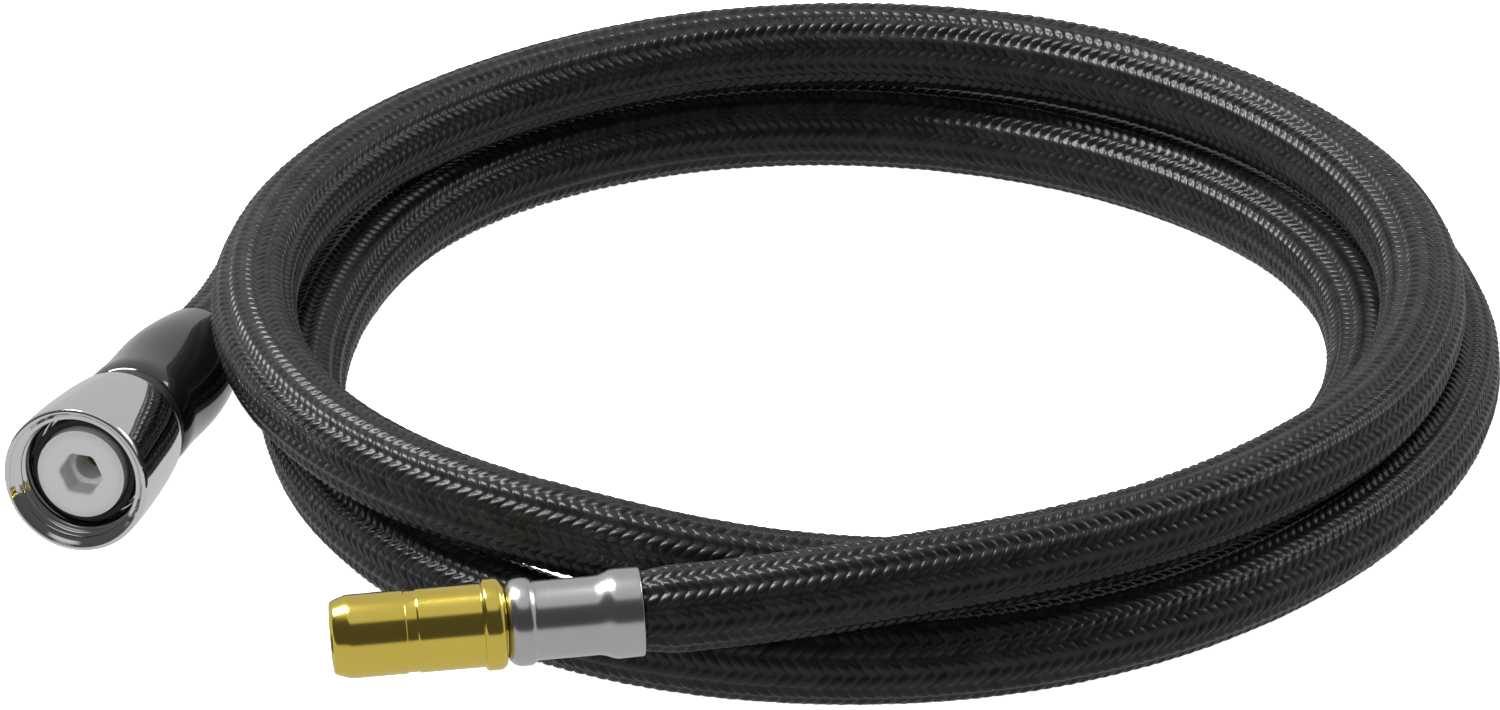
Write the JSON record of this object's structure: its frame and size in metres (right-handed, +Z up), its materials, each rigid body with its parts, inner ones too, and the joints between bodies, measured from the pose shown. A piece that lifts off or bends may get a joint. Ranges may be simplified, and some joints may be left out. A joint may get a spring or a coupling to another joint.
{
  "type": "spray hose",
  "caption": "Black braided kitchen spray hose in a loose coil, with a brass push-fit plug and a chromed conical union nut.",
  "frame": {"origin": "centre of the coiled hose's bounding box, on the floor it lies on", "axes": "+Z up from the floor; +X and +Y lie in the floor, and the union nut's mouth faces -Y"},
  "size_m": [0.2367, 0.2868, 0.0315],
  "materials": {
    "braid": "woven nylon, semi-gloss",
    "liner": "matte",
    "brass": "turned, polished",
    "steel": "satin",
    "chrome": "polished",
    "white_plastic": "moulded, satin",
    "seal": "matte",
    "black_plastic": "glossy",
    "soft_black": "matte",
    "spring_steel": "plain",
    "acetal": "smooth"
  },
  "bodies": {
    "hose": {"hose_braid": "braid", "hose_liner": "liner", "plug": "brass", "plug_ferrule": "steel", "swivel_stem": "brass", "stem_ferrule": "steel", "stem_o_ring_front": "seal", "stem_o_ring_back": "seal", "stem_snap_ring": "spring_steel"},
    "swivel": {"nipple": "white_plastic", "cone_sleeve": "black_plastic", "collar_ring": "soft_black", "nipple_washer": "seal", "glide_washer": "acetal"},
    "nut": {"union_nut": "chrome"}
  },
  "joints": [
    {"name": "swivel_turn", "type": "hinge", "parent": "hose", "child": "swivel", "pos_m": [-0.10537, -0.06255, 0.0124], "axis": [-0.0017, -0.9976, 0.0698], "continuous": true},
    {"name": "nut_spin", "type": "hinge", "parent": "swivel", "child": "nut", "pos_m": [-0.10538, -0.07053, 0.01296], "axis": [-0.0017, -0.9976, 0.0698], "continuous": true}
  ]
}
